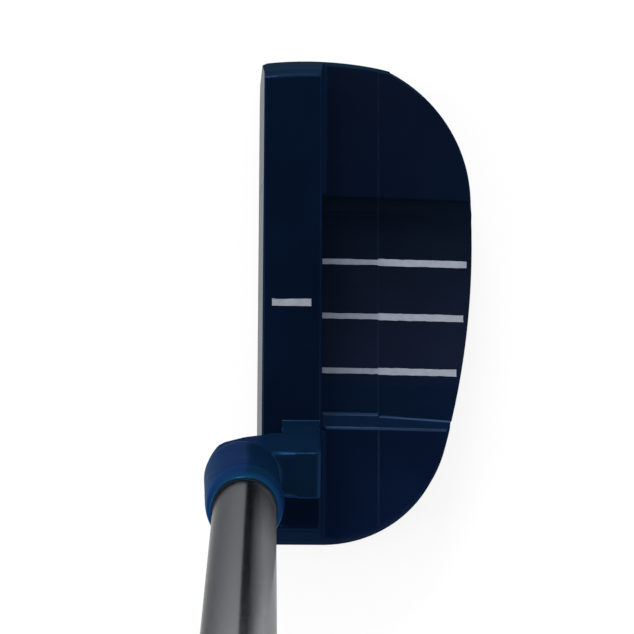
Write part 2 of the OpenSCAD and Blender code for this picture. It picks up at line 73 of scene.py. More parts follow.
# Share of the rim's length and radius in millimetres, upwards
RIM_STEPS = ((0.4, 6.2), (0.3, 6.0), (0.2, 5.7), (0.1, 5.4))

# Half width of the foot and its height above the topline, in millimetres, upwards
FOOT_STEPS = ((6.0, 0.2), (5.96, 0.28), (5.88, 0.335), (5.76, 0.36), (5.2, 0.37),
              (4.95, 0.4), (4.75, 0.5), (4.6, 0.65), (4.5, 0.85), (4.42, 1.2))

# How far behind the shaft's axis and above the arm the barrel's root is smoothed, in millimetres
ROOT_BLENDS = ((7.4, 1.4), (8.4, 2.6))


class PutterSizes(bpy.types.PropertyGroup):
    """Sizes of the putter's pieces"""

    edge_round: FloatProperty(
        name="Edge Rounding", description="Rounding of the head's edges",
        default=0.55 * MM, min=0.1 * MM, max=1 * MM, unit="LENGTH", precision=5)
    topline_h: FloatProperty(
        name="Topline Height", description="Height of the topline above the ground",
        default=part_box("head_body")[1].z, unit="LENGTH", precision=5)
    crease_y: FloatProperty(
        name="Crease", description="Distance of the flange's crease behind the origin",
        default=0.8 * MM, unit="LENGTH", precision=5)
    line_proud: FloatProperty(
        name="Paint Height", description="How far the sight lines' paint stands proud",
        default=0.05 * MM, min=0, max=0.3 * MM, unit="LENGTH", precision=5)
    line_waver: FloatProperty(
        name="Paint Waver", description="How far the edges of the sight lines waver",
        default=0.06 * MM, min=0, max=0.2 * MM, unit="LENGTH", precision=5)
    lie: FloatProperty(
        name="Lie", description="Angle of the shaft from the ground",
        default=math.radians(70), subtype="ANGLE")
    shaft_ground_x: FloatProperty(
        name="Shaft Foot", description="Where the shaft's axis meets the ground, towards the heel",
        default=18.165 * MM, unit="LENGTH", precision=5)
    shaft_y: FloatProperty(
        name="Shaft Lead", description="Place of the shaft's axis, front to back",
        default=-22.5 * MM, unit="LENGTH", precision=5)
    arm_top: FloatProperty(
        name="Arm Top", description="Height of the neck's arm along the shaft",
        default=41.34 * MM, unit="LENGTH", precision=5)
    arm_w: FloatProperty(
        name="Arm Width", description="Width of the neck's arm, heel to toe",
        default=7.9 * MM, unit="LENGTH", precision=5)
    draft: FloatProperty(
        name="Draft", description="Lean of the neck's side towards the toe",
        default=math.radians(4.2), subtype="ANGLE")
    elbow_r: FloatProperty(
        name="Elbow Radius", description="Radius of the neck's round elbow",
        default=13.9 * MM, unit="LENGTH", precision=5)
    elbow_t: FloatProperty(
        name="Elbow Height", description="Height of the elbow's centre along the shaft",
        default=43.24 * MM, unit="LENGTH", precision=5)
    post_rear: FloatProperty(
        name="Post Rear", description="Distance of the post's back from the shaft's axis",
        default=12.5 * MM, unit="LENGTH", precision=5)
    post_d: FloatProperty(
        name="Post Depth", description="Depth of the post, front to back",
        default=6.4 * MM, unit="LENGTH", precision=5)
    barrel_r: FloatProperty(
        name="Barrel Radius", description="Radius of the barrel at its lower end",
        default=6.2 * MM, unit="LENGTH", precision=5)
    rim_r: FloatProperty(
        name="Rim Radius", description="Radius of the barrel where its rim starts",
        default=6.35 * MM, unit="LENGTH", precision=5)
    rim_t: FloatProperty(
        name="Rim Height", description="Height of the rim's lower edge along the shaft",
        default=60.04 * MM, unit="LENGTH", precision=5)
    rim_l: FloatProperty(
        name="Rim Length", description="Length of the tapered rim",
        default=5.5 * MM, unit="LENGTH", precision=5)
    socket_r: FloatProperty(
        name="Socket Radius", description="Radius of the shaft's socket in the neck",
        default=5.15 * MM, unit="LENGTH", precision=5)
    socket_d: FloatProperty(
        name="Socket Depth", description="Depth of the shaft's socket in the neck",
        default=25 * MM, unit="LENGTH", precision=5)
    tip_r: FloatProperty(
        name="Tip Radius", description="Radius of the shaft's tip",
        default=5 * MM, unit="LENGTH", precision=5)
    butt_r: FloatProperty(
        name="Butt Radius", description="Radius of the shaft's butt",
        default=7.4 * MM, unit="LENGTH", precision=5)
    shaft_wall: FloatProperty(
        name="Shaft Wall", description="Wall of the shaft's tube",
        default=0.6 * MM, unit="LENGTH", precision=5)
    butt_t: FloatProperty(
        name="Butt", description="Height of the shaft's butt end along the shaft",
        default=860 * MM, unit="LENGTH", precision=5)
    plain_tip: FloatProperty(
        name="Plain Tip", description="Plain length of the shaft above the rim",
        default=180 * MM, unit="LENGTH", precision=5)
    step_l: FloatProperty(
        name="Step Length", description="Length of each step of the shaft",
        default=26 * MM, unit="LENGTH", precision=5)
    step_cone: FloatProperty(
        name="Step Cone", description="Length of the cone that makes each step",
        default=1.5 * MM, unit="LENGTH", precision=5)
    step_count: IntProperty(
        name="Steps", description="Number of steps of the shaft", default=12, min=1)


class PutterFinish(bpy.types.PropertyGroup):
    """Colours of the putter's finishes"""

    topline: FloatVectorProperty(
        name="Topline Paint", description="Blue of the metallic paint on the topline",
        default=(0.0042, 0.0135, 0.042), subtype="COLOR", min=0, max=1)
    # Painted light: the heel wing is painted lighter and bluer than the toe wing
    flange_toe: FloatVectorProperty(
        name="Toe Wing Paint", description="Blue of the flange at the toe",
        default=(0.0076, 0.0152, 0.039), subtype="COLOR", min=0, max=1)
    flange_heel: FloatVectorProperty(
        name="Heel Wing Paint", description="Blue of the flange at the heel",
        default=(0.0062, 0.0195, 0.07), subtype="COLOR", min=0, max=1)
    # Painted light: the recess floor is painted as a lighter, greyer copy of the blue paint
    recess: FloatVectorProperty(
        name="Recess Paint", description="Greyer blue of the blasted recess floor",
        default=(0.0135, 0.0215, 0.05), subtype="COLOR", min=0, max=1)
    # Painted light: the neck is a brighter copy of the blue paint
    neck: FloatVectorProperty(
        name="Neck Paint", description="Brighter blue of the neck",
        default=(0.0065, 0.03, 0.078), subtype="COLOR", min=0, max=1)
    # Pale blue of the painted highlight along the flange's crease
    crease_highlight: FloatVectorProperty(
        name="Worn Paint", description="Pale blue where the crease is polished thin",
        default=(0.045, 0.085, 0.17), subtype="COLOR", min=0, max=1)
    milled: FloatVectorProperty(
        name="Milled Face", description="Bare metal of the face",
        default=(0.385, 0.4, 0.41), subtype="COLOR", min=0, max=1)
    line: FloatVectorProperty(
        name="Sight Lines", description="White of the sight lines",
        default=(0.36, 0.395, 0.48), subtype="COLOR", min=0, max=1)
    steel: FloatVectorProperty(
        name="Plated Steel", description="Bright plating of the shaft",
        default=(0.5, 0.51, 0.53), subtype="COLOR", min=0, max=1)
    rubber: FloatVectorProperty(
        name="Grip Rubber", description="Rubber of the grip",
        default=(0.016, 0.017, 0.019), subtype="COLOR", min=0, max=1)
    floor: FloatVectorProperty(
        name="Floor", description="Pale floor under the putter",
        default=(0.86, 0.86, 0.86), subtype="COLOR", min=0, max=1)


def add(tree, kind, inputs=None, **settings):
    """Adds a shader node, sets its settings, and sets or joins its inputs."""
    node = tree.nodes.new("ShaderNode" + kind)
    for key, value in settings.items():
        setattr(node, key, value)
    for key, value in (inputs or {}).items():
        if isinstance(value, bpy.types.NodeSocket):
            tree.links.new(value, node.inputs[key])
        else:
            node.inputs[key].default_value = value
    return node


def new_material(name):
    """A fresh material with its tree, its output and the pieces' own coordinates."""
    mat = bpy.data.materials.new(name)
    mat.use_nodes = True
    tree = mat.node_tree
    tree.nodes.clear()
    output = add(tree, "OutputMaterial")
    coords = add(tree, "TexCoord").outputs["Object"]
    return mat, tree, output, coords


def close_material(tree, output, shader):
    """Joins a finished shader to the material's output."""
    tree.links.new(shader.outputs[0], output.inputs["Surface"])


def stretch(tree, coords, scale, turn=(0, 0, 0)):
    """Coordinates scaled differently along each axis, for streaks."""
    return add(tree, "Mapping", {"Vector": coords, "Scale": scale, "Rotation": turn}).outputs[0]


def noise(tree, coords, scale, detail=2.0):
    """A cloudy value round 0.5."""
    return add(tree, "TexNoise", {"Vector": coords, "Scale": scale, "Detail": detail,
                                  "Roughness": 0.5}).outputs["Fac"]


def between(tree, factor, low, high):
    """A value that runs from low to high with a factor from about 0.3 to 0.7."""
    return add(tree, "MapRange", {"Value": factor, "From Min": 0.3, "From Max": 0.7,
                                  "To Min": low, "To Max": high}).outputs[0]


def mix_colours(tree, factor, first, second):
    """A colour that runs from the first to the second with a factor from 0.3 to 0.7."""
    ramp = add(tree, "ValToRGB", {"Fac": factor})
    ramp.color_ramp.elements[0].position = 0.3
    ramp.color_ramp.elements[0].color = (*first, 1)
    ramp.color_ramp.elements[1].position = 0.7
    ramp.color_ramp.elements[1].color = (*second, 1)
    return ramp.outputs["Color"]


def bump(tree, height, strength, distance, normal=None):
    """A bumped normal, on top of another one where that is given."""
    inputs = {"Height": height, "Strength": strength, "Distance": distance}
    if normal:
        inputs["Normal"] = normal
    return add(tree, "Bump", inputs).outputs[0]


def along(tree, coords, axis, low, high):
    """A value from 0 to 1 between two places along one axis of a piece."""
    place_at = add(tree, "SeparateXYZ", {0: coords}).outputs[axis]
    return add(tree, "MapRange", {"Value": place_at, "From Min": low, "From Max": high}).outputs[0]


def painted_crease_highlight(tree, coords, sizes, toe_highlight, heel_highlight):
    """Painted highlight on the flange's crease: a broken pale line, plainer towards the heel."""
    y = add(tree, "SeparateXYZ", {0: coords}).outputs["Y"]
    away = add(tree, "Math", {0: y, 1: sizes.crease_y}, operation="SUBTRACT").outputs[0]
    away = add(tree, "Math", {0: away}, operation="ABSOLUTE").outputs[0]
    line = add(tree, "MapRange", {"Value": away, "From Min": 0.05 * MM, "From Max": 0.24 * MM,
                                  "To Min": 1.0, "To Max": 0.0}).outputs[0]
    # Strength of the painted highlight from toe to heel
    wear = add(tree, "MapRange", {"Value": along(tree, coords, "X", -0.03, 0.03),
                                  "To Min": toe_highlight, "To Max": heel_highlight}).outputs[0]
    broken = between(tree, noise(tree, coords, 260, 2), 0.2, 1.0)
    crease_highlight = add(tree, "Math", {0: wear, 1: broken}, operation="MULTIPLY").outputs[0]
    return add(tree, "Math", {0: line, 1: crease_highlight}, operation="MULTIPLY").outputs[0]


def toe_to_heel(tree, coords, tones):
    """Colour of the paint from toe to heel, given at places along X in millimetres."""
    ramp = add(tree, "ValToRGB", {"Fac": along(tree, coords, "X", -0.05, 0.05)})
    stops = ramp.color_ramp.elements
    for stop, (x, colour) in zip((stops[0], stops[1]), (tones[0], tones[-1])):
        stop.position = 0.5 + x / 100
        stop.color = (*colour, 1)
    for x, colour in tones[1:-1]:
        stops.new(0.5 + x / 100).color = (*colour, 1)
    return ramp.outputs["Color"]


def candy_blue_paint(name, *tones, crease=None, rough=0.2, streaked=0.02, flaked=0.04,
                     sheen=(0.035, 0.18, 0.38), coat=0.02, metal=0.55):
    """Dark blue metallic lacquer: flakes under a thin clear coat, faint polishing streaks below."""
    mat, tree, output, coords = new_material(name)
    colour = toe_to_heel(tree, coords, tones) if len(tones) > 1 else tones[0]
    shade = between(tree, noise(tree, coords, 55, 3), 0.82, 1.1)
    colour = add(tree, "VectorMath", {0: colour, "Scale": shade}, operation="SCALE").outputs[0]
    # Painted highlight: a broken pale line along the flange's crease
    if crease:
        sizes, crease_highlight, toe_highlight, heel_highlight = crease
        thin = painted_crease_highlight(tree, coords, sizes, toe_highlight, heel_highlight)
        colour = add(tree, "Mix", {"Factor": thin, "A": colour, "B": (*crease_highlight, 1)},
                     data_type="RGBA").outputs["Result"]
    streaks = noise(tree, stretch(tree, coords, (2600, 90, 90)), 1, 2)
    flakes = add(tree, "TexVoronoi", {"Vector": coords, "Scale": 5200}).outputs["Distance"]
    peel = noise(tree, coords, 420, 1)
    under = bump(tree, streaks, streaked, 0.0002, bump(tree, flakes, flaked, 0.0001))
    shader = add(tree, "BsdfPrincipled", {
        "Base Color": colour, "Metallic": metal,
        "Roughness": between(tree, streaks, rough, rough + 0.06),
        "Specular IOR Level": 0.0, "Specular Tint": (*sheen, 1),
        "Normal": under, "Coat Weight": coat, "Coat Roughness": 0.05, "Coat IOR": 1.5,
        "Coat Normal": bump(tree, peel, 0.02, 0.0004)})
    close_material(tree, output, shader)
    return mat


def milled_metal(finish):
    """Bare metal with the fine curved tracks of a face mill."""
    mat, tree, output, coords = new_material("milled_metal")
    tracks = add(tree, "TexWave", {"Vector": stretch(tree, coords, (1, 1, 1.2)), "Scale": 280,
                                   "Distortion": 1.5, "Detail": 2, "Detail Scale": 3},
                 wave_type="RINGS", rings_direction="Y").outputs["Fac"]
    tone = noise(tree, coords, 160, 3)
    colour = mix_colours(tree, tone, tuple(0.88 * c for c in finish.milled), tuple(finish.milled))
    shader = add(tree, "BsdfPrincipled", {
        "Base Color": colour, "Metallic": 1.0, "Roughness": between(tree, tone, 0.34, 0.44),
        "Specular Tint": (0.3, 0.31, 0.32, 1),
        "Normal": bump(tree, tracks, 0.25, 0.00005)})
    close_material(tree, output, shader)
    return mat


def white_line_paint(finish):
    """Hand-filled white paint, grey in random patches, with painted shade in front of the crease and on
    the topline.
    """
    mat, tree, output, coords = new_material("white_line_paint")
    patch = noise(tree, coords, 900, 3)
    colour = mix_colours(tree, patch, tuple(0.86 * c for c in finish.line), tuple(finish.line))
    # Painted shade: darkest just behind the topline's back wall, plain from the crease on, a little
    # dimmer on the topline
    thin = add(tree, "ValToRGB", {"Fac": along(tree, coords, "Y", -0.02, 0.02)})
    thin.color_ramp.elements[0].position = 0.2
    thin.color_ramp.elements[0].color = (0.84, 0.84, 0.83, 1)
    thin.color_ramp.elements[1].position = 0.54
    thin.color_ramp.elements[1].color = (1, 1, 1, 1)
    for place_at, grey in ((0.25, 0.68), (0.5, 0.76)):
        thin.color_ramp.elements.new(place_at).color = (0.96 * grey, grey, 1.08 * grey, 1)
    colour = add(tree, "Mix", {"Factor": 1.0, "A": colour, "B": thin.outputs["Color"]},
                 data_type="RGBA", blend_type="MULTIPLY").outputs["Result"]
    shader = add(tree, "BsdfPrincipled", {
        "Base Color": colour, "Roughness": between(tree, patch, 0.5, 0.65),
        "Normal": bump(tree, noise(tree, coords, 1500, 2), 0.15, 0.00005)})
    close_material(tree, output, shader)
    return mat


def plated_steel(sizes, finish):
    """Bright plating over steel with faint drawing marks, and a painted reflection lightening the back
    above the neck, less so close to the neck.
    """
    mat, tree, output, coords = new_material("plated_shaft_steel")
    lean = Vector((0, math.pi / 2 - sizes.lie, 0))
    marks = noise(tree, stretch(tree, coords, (1800, 1800, 40), lean), 1, 2)
    colour = mix_colours(tree, noise(tree, coords, 30, 2),
                         tuple(0.92 * c for c in finish.steel), tuple(finish.steel))
    # Painted reflection: the back of the shaft gets a brighter tint and less metal, ramped in from just
    # above the neck
    front_sheen, back_painted_reflection = (0.15, 0.154, 0.158, 1), (0.2, 0.205, 0.212, 1)
    back = along(tree, coords, "Y", sizes.shaft_y + 1.2 * MM, sizes.shaft_y + 3.2 * MM)
    above = add(tree, "MapRange", {"Value": along(tree, coords, "Z", 0.068, 0.094),
                                   "To Min": 0.25, "To Max": 1.0}).outputs[0]
    back = add(tree, "Math", {0: back, 1: above}, operation="MULTIPLY").outputs[0]
    painted_reflection_metal = add(tree, "MapRange", {"Value": back, "To Min": 1.0, "To Max": 0.7}).outputs[0]
    sheen = add(tree, "Mix", {"Factor": back, "A": front_sheen, "B": back_painted_reflection},
                data_type="RGBA").outputs["Result"]
    shader = add(tree, "BsdfPrincipled", {
        "Base Color": colour, "Metallic": painted_reflection_metal, "Roughness": between(tree, marks, 0.16, 0.2),
        "Specular IOR Level": 0.0, "Specular Tint": sheen, "Normal": bump(tree, marks, 0.02, 0.0001)})
    close_material(tree, output, shader)
    return mat


def grip_rubber(finish, name, grain=1400):
    """Black moulded rubber with a fine pebble grain."""
    mat, tree, output, coords = new_material(name)
    pebbles = add(tree, "TexVoronoi", {"Vector": coords, "Scale": grain}).outputs["Distance"]
    wear = noise(tree, coords, 24, 3)
    colour = mix_colours(tree, wear, tuple(finish.rubber), tuple(1.5 * c for c in finish.rubber))
    shader = add(tree, "BsdfPrincipled", {
        "Base Color": colour, "Roughness": between(tree, wear, 0.55, 0.7),
        "Normal": bump(tree, pebbles, 0.35, 0.0003)})
    close_material(tree, output, shader)
    return mat


def plain_finish(name, colour, rough, metallic=0.0, scale=600, depth=0.1, stretched=(1, 1, 1)):
    """A mottled finish for the pieces inside: film, epoxy, plug, tape and screw."""
    mat, tree, output, coords = new_material(name)
    grain = noise(tree, stretch(tree, coords, stretched), scale, 3)
    tone = mix_colours(tree, grain, tuple(0.8 * c for c in colour), colour)
    shader = add(tree, "BsdfPrincipled", {
        "Base Color": tone, "Metallic": metallic,
        "Roughness": between(tree, grain, rough, min(1.0, rough + 0.12)),
        "Normal": bump(tree, grain, depth, 0.0001)})
    close_material(tree, output, shader)
    return mat


def deselect():
    """Leaves edit mode and selects nothing."""
    if bpy.context.mode != "OBJECT":
        bpy.ops.object.mode_set(mode="OBJECT")
    bpy.ops.object.select_all(action="DESELECT")


def make_active(*pieces):
    """Selects pieces, the first of them active."""
    deselect()
    for piece in pieces:
        piece.select_set(True)
    bpy.context.view_layer.objects.active = pieces[0]


def remove(piece):
    """Deletes a piece that was only a tool."""
    make_active(piece)
    bpy.ops.object.delete()


def settle():
    """Puts the active piece's place, turn and size into its mesh."""
    bpy.ops.object.transform_apply(location=True, rotation=True, scale=True)


def added(name):
    """Names the object that an operator has just added."""
    piece = bpy.context.active_object
    piece.name = name
    piece.data.name = name
    return piece


def copy_node(node, name):
    """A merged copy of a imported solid's mesh, as a new piece."""
    make_active(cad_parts[node])
    bpy.ops.object.duplicate()
    piece = added(name)
    for key in list(piece.keys()):
        del piece[key]
    piece.data.materials.clear()
    edit_all(piece)
    bpy.ops.mesh.customdata_custom_splitnormals_clear()
    bpy.ops.mesh.remove_doubles(threshold=1e-7)
    leave_edit()
    return piece


def edit_all(piece):
    """Enters edit mode on a piece with all of it selected."""
    make_active(piece)
    bpy.ops.object.mode_set(mode="EDIT")
    bpy.ops.mesh.select_mode(type="VERT")
    bpy.ops.mesh.select_all(action="SELECT")


def leave_edit():
    """Returns to object mode."""
    bpy.ops.object.mode_set(mode="OBJECT")


def pick(piece, kind, test):
    """Selects the faces or edges of a piece that pass a test, and enters edit mode on them."""
    make_active(piece)
    mesh = piece.data
    bpy.ops.object.mode_set(mode="EDIT")
    bpy.ops.mesh.select_mode(type=kind)
    bpy.ops.mesh.select_all(action="DESELECT")
    leave_edit()
    found = 0
    if kind == "FACE":
        for face in mesh.polygons:
            face.select = test(face.center, face.normal)
            found += face.select
    else:
        normals = {}
        for face in mesh.polygons:
            for key in face.edge_keys:
                normals.setdefault(key, []).append(face.normal.copy())
        for edge in mesh.edges:
            a, b = (mesh.vertices[i].co for i in edge.vertices)
            sides = normals.get(edge.key, [])
            turn = sides[0].angle(sides[1], 0) if len(sides) == 2 else math.pi
            edge.select = test(a, b, sides, turn)
            found += edge.select
    bpy.ops.object.mode_set(mode="EDIT")
    if not found:
        raise RuntimeError(f"{piece.name}: nothing there to select")


def apply_modifier(piece, kind, **settings):
    """Adds a modifier to a piece and applies it."""
    make_active(piece)
    bpy.ops.object.modifier_add(type=kind)
    modifier = piece.modifiers[-1]
    for key, value in settings.items():
        setattr(modifier, key, value)
    bpy.ops.object.modifier_apply(modifier=modifier.name)


def smooth(piece, angle, weighted=True):
    """Smooth shading with crisp edges, flat faces kept flat."""
    make_active(piece)
    bpy.ops.object.shade_smooth_by_angle(angle=math.radians(angle), keep_sharp_edges=True)
    if weighted:
        apply_modifier(piece, "WEIGHTED_NORMAL", mode="FACE_AREA_WITH_ANGLE", weight=100,
                       keep_sharp=True)


def place(piece, matrix):
    """Moves a finished mesh to its place, with the object left at the origin."""
    bpy.context.view_layer.update()
    piece.matrix_world = matrix @ piece.matrix_world
    make_active(piece)
    settle()


def finish_piece(piece, slot, node, *materials):
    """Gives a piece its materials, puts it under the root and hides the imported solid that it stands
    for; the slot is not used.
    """
    for mat in materials:
        piece.data.materials.append(mat)
    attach(piece, "root")
    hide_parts(node)


def assign(piece, index, test):
    """Gives the faces that pass a test one of the piece's materials."""
    pick(piece, "FACE", test)
    piece.active_material_index = index
    bpy.ops.object.material_slot_assign()
    leave_edit()


def merge_flat(piece):
    """Enters edit mode on a piece and joins its level faces."""
    edit_all(piece)
    bpy.ops.mesh.dissolve_limited(angle_limit=FLAT)


def dress_node(node, mat):
    """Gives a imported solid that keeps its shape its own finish."""
    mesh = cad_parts[node].data
    mesh.materials.clear()
    mesh.materials.append(mat)


def shaft_frame(sizes):
    """The frame of the shaft, with its axis along Z and its foot on the ground."""
    return (Matrix.Translation((sizes.shaft_ground_x, sizes.shaft_y, 0))
            @ Matrix.Rotation(math.pi / 2 - sizes.lie, 4, "Y"))


def head_outer_edges():
    """A test for the head's long outer edges, clear of grooves, pocket, bore and thin lips."""
    low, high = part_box("face_insert")
    line_places = (-LINE_PITCH, 0, LINE_PITCH)

    def groove(p):
        on_flange = min(abs(p.x - x) for x in line_places) < 0.8 * MM and p.z > 5 * MM
        on_topline = abs(p.x) < 0.7 * MM and p.z > 23 * MM
        return on_flange or on_topline

    def pocket(p):
        return (low.x - 0.3 * MM < p.x < high.x + 0.3 * MM
                and low.z - 0.4 * MM < p.z < high.z + 0.4 * MM and p.y < -16.5 * MM)

    def bored(p):
        return math.hypot(p.x - SPIGOT_X, p.y - SPIGOT_Y) < 3.3 * MM

    def heel_nick(p):
        return p.x > 40.6 * MM and 10 * MM < p.z < 11 * MM

    def rear_lip(p):
        return abs(p.x + 0.5 * MM) < 19.3 * MM and p.y > 12.5 * MM and p.z > 6 * MM

    def outer(a, b, sides, turn):
        up = [n.z for n in sides] or [0]
        excluded = (groove, pocket, bored, heel_nick, rear_lip)
        return (turn > math.radians(28) and (max(up) > 0.75 or min(up) < -0.9)
                and max(a.y, b.y) > -19.5 * MM
                and not any(test(p) for test in excluded for p in (a, b)))

    return outer


class PUTTER_OT_head(bpy.types.Operator):
    """Model the painted head with softened edges and a bare milled face"""

    bl_idname = "putter.head"
    bl_label = "Head"

    def execute(self, context):
        sizes = context.scene.putter_sizes
        head = copy_node("head_body", "head")
        merge_flat(head)
        pick(head, "EDGE", head_outer_edges())
        bpy.ops.mesh.bevel(offset=sizes.edge_round, segments=4, profile=0.5, affect="EDGES",
                           clamp_overlap=False, miter_outer="SHARP")
        leave_edit()

        wall_foot, wall_up = Vector((17.9, 0.8, 10.99)) * MM, Vector((0.796, 0.011, 0.603))
        strip = 0.45 * MM
        crease_play, crease_turn = 2e-5, 0.02
        topline_rear, flange_low = -9.6 * MM, 6 * MM

        def rear_wall(c, n):
            return (c.y > 3 * MM and 17.5 * MM < c.x < 21.5 * MM
                    and n.x < -0.55 and n.z > 0.6)

        def crease(a, b, sides, turn):
            return (max(abs(p.y - sizes.crease_y) for p in (a, b)) < crease_play
                    and a.z > flange_low and turn > crease_turn)

        # Cuts a strip at the heel wall's foot to carry the painted highlight
        pick(head, "FACE", rear_wall)
        bpy.ops.mesh.bisect(plane_co=wall_foot + strip * wall_up, plane_no=wall_up)
        leave_edit()
        pick(head, "EDGE", crease)
        bpy.ops.mesh.mark_sharp()
        leave_edit()
        smooth(head, 35)
        finish_piece(head, "blue_paint", "head_body", *(MATERIALS[key] for key in HEAD_PAINTS))

        def face(c, n):
            return n.y < -0.98 and c.y < -19 * MM

        def behind(c):
            return c.y > topline_rear and c.z > flange_low

        def flange(c, n):
            return behind(c) and n.z > 0.93

        def recess_floor(c, n):
            back = c.y - sizes.crease_y
            slope = 0.07 if back < 0 else 0.14
            return (n.z > 0.985 and behind(c) and -20.5 * MM < c.x < 19.5 * MM
                    and c.z < 12.3 * MM - slope * back)

        def toe_wall(c, n):
            return behind(c) and -22.8 * MM < c.x < -16.5 * MM and n.x > 0.3 and 0.3 < n.z < 0.96

        # Painted highlight: pale blue strips at the foot and the rounded top edge of the recess's heel
        # wall
        def wall_edge(c, n):
            lower = rear_wall(c, n) and (c - wall_foot).dot(wall_up) < strip
            rounded = (behind(c) and 17.2 * MM < c.x < 21.6 * MM
                       and -0.45 < n.x < -0.15 and n.z > 0.8 and n.y < 0.2)
            return lower or rounded

        def toe_end(c, n):
            return c.x < -41 * MM and n.x < -0.12 and 0.15 < n.z < 0.99 and c.z > 9 * MM

        def sides(c, n):
            inside = abs(c.x + 0.5 * MM) < 22.5 * MM and c.y < 12.8 * MM
            return (-0.97 < n.z < 0.93 and not (behind(c) and inside) and not face(c, n)
                    and (c.y > -9.4 * MM or n.z < 0.6))

        # The toe wall takes the recess paint's darkest tone as painted shade
        for paint, test in (("sides", sides), ("milled", face), ("flange", flange),
                            ("recess", recess_floor), ("recess", toe_wall),
                            ("polished", wall_edge), ("toe_end", toe_end)):
            assign(head, HEAD_PAINTS.index(paint), test)
        return {"FINISHED"}


class PUTTER_OT_face(bpy.types.Operator):
    """Finish the milled insert and the film behind it"""

    bl_idname = "putter.face"
    bl_label = "Face Insert"

    def execute(self, context):
        insert = copy_node("face_insert", "insert_plate")
        merge_flat(insert)
        pick(insert, "EDGE", lambda a, b, sides, turn: turn > math.radians(50))
        bpy.ops.mesh.bevel(offset=0.15 * MM, segments=2, profile=0.5, affect="EDGES")
        leave_edit()
        smooth(insert, 40)
        finish_piece(insert, "milled_face", "face_insert", MATERIALS["milled"])
        dress_node("insert_bond", MATERIALS["film"])
        return {"FINISHED"}


class PUTTER_OT_sight_lines(bpy.types.Operator):
    """Fill the grooves with slightly uneven white paint"""

    bl_idname = "putter.sight_lines"
    bl_label = "Sight Lines"

    def execute(self, context):
        sizes = context.scene.putter_sizes
        for seed, node in enumerate(("topline_sight_line", "toe_sight_line",
                                     "centre_sight_line", "heel_sight_line")):
            line = copy_node(node, node.replace("sight_line", "paint_line"))
            low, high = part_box(node)
            merge_flat(line)
            length, cut_every = high.y - low.y, 0.9 * MM
            count = max(6, round(length / cut_every))
            for i in range(1, count):
                bpy.ops.mesh.select_all(action="SELECT")
                bpy.ops.mesh.bisect(plane_co=(0, low.y + length * i / count, 0),
                                    plane_no=(0, 1, 0))
            pick(line, "FACE", lambda c, n: n.z > 0.8)
            bpy.ops.transform.translate(value=(0, 0, sizes.line_proud))
            bpy.ops.transform.vertex_random(offset=sizes.line_waver, uniform=0.6, normal=0,
                                            seed=seed + 3)
            leave_edit()
            smooth(line, 40, weighted=False)
            finish_piece(line, "white_paint", node, MATERIALS["line"])
        return {"FINISHED"}


def make_elbow(sizes):
    """The neck's round elbow, cut level with the arm and narrowed to a round nose in front."""
    deselect()
    bpy.ops.mesh.primitive_cylinder_add(
        vertices=256, radius=sizes.elbow_r, depth=sizes.arm_w, rotation=(0, math.pi / 2, 0),
        location=(0, sizes.elbow_r - 7 * MM, sizes.elbow_t))
    elbow = added("elbow")
    settle()
    edit_all(elbow)
    for point, normal in (((0, 0, sizes.arm_top), (0, 0, 1)), ((0, sizes.post_rear, 0), (0, 1, 0))):
        bpy.ops.mesh.select_all(action="SELECT")
        bpy.ops.mesh.bisect(plane_co=point, plane_no=normal, use_fill=True, clear_outer=True)
    leave_edit()

    nose_r, nose_y, nose_reach = 4.9 * MM, -2 * MM, 40 * MM
    deselect()
    bpy.ops.mesh.primitive_cylinder_add(vertices=128, radius=nose_r, depth=60 * MM,
                                        location=(0, nose_y, sizes.elbow_t))
    nose = added("nose")
    settle()
    pick(nose, "FACE", lambda c, n: n.y > 0.01 and abs(n.z) < 0.5)
    bpy.ops.transform.translate(value=(0, nose_reach, 0))
    leave_edit()
    apply_modifier(elbow, "BOOLEAN", operation="INTERSECT", object=nose, solver="EXACT")
    remove(nose)
    return elbow


def make_post(sizes):
    """The flat post, from the arm down into the head, a little narrower than the arm."""
    deselect()
    bpy.ops.mesh.primitive_cube_add(size=1)
    post = added("post")
    low = sizes.topline_h / math.sin(sizes.lie) - 8 * MM
    post.scale = (sizes.arm_w - 0.1 * MM, sizes.post_d, sizes.arm_top - low)
    post.location = (0, sizes.post_rear - sizes.post_d / 2, (sizes.arm_top + low) / 2)
    settle()
    return post


def make_barrel(sizes):
    """The barrel's round lower end, and the barrel with its tapered rim."""
    forward = (0, -0.8 * MM, 0)
    deselect()
    bpy.ops.mesh.primitive_uv_sphere_add(segments=128, ring_count=64, radius=sizes.barrel_r,
                                         location=(0, forward[1], sizes.elbow_t))
    ball = added("barrel_end")
    settle()
    deselect()
    length = sizes.rim_t - sizes.elbow_t
    bpy.ops.mesh.primitive_cone_add(vertices=192, radius1=sizes.barrel_r, radius2=sizes.rim_r,
                                    depth=length, location=(0, 0, sizes.elbow_t + length / 2))
    barrel = added("barrel")
    settle()
    pick(barrel, "FACE", lambda c, n: n.z < -0.9)
    bpy.ops.transform.translate(value=forward)
    leave_edit()
    pick(barrel, "FACE", lambda c, n: n.z > 0.9)
    wide = sizes.rim_r
    for share, radius in RIM_STEPS:
        bpy.ops.mesh.extrude_region_move(
            TRANSFORM_OT_translate={"value": (0, 0, share * sizes.rim_l)})
        bpy.ops.transform.resize(value=(radius * MM / wide, radius * MM / wide, 1))
        wide = radius * MM
    leave_edit()
    return ball, barrel


